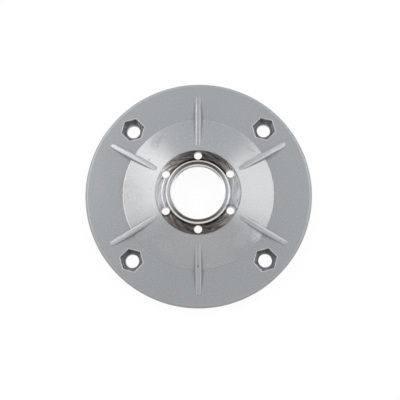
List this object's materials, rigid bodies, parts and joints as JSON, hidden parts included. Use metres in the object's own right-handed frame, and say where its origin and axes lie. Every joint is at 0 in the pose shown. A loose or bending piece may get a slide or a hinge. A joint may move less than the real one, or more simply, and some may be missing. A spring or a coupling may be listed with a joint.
{
  "type": "gearbox motor flange",
  "caption": "Round motor flange for a gearbox: a ribbed cone rises from a plate with socketed bolt holes to a turned hub with a spigot and a bore.",
  "frame": {"origin": "centre of the motor face", "axes": "+Z along the bore, from the motor face towards the gearbox; +X lies midway between two motor bolts"},
  "size_m": [0.2, 0.2, 0.025],
  "materials": {
    "casting": "grey paint on the cast surfaces, bare turned metal on the hub and the motor face"
  },
  "bodies": {
    "root": {"motor_flange": "casting"}
  },
  "joints": []
}
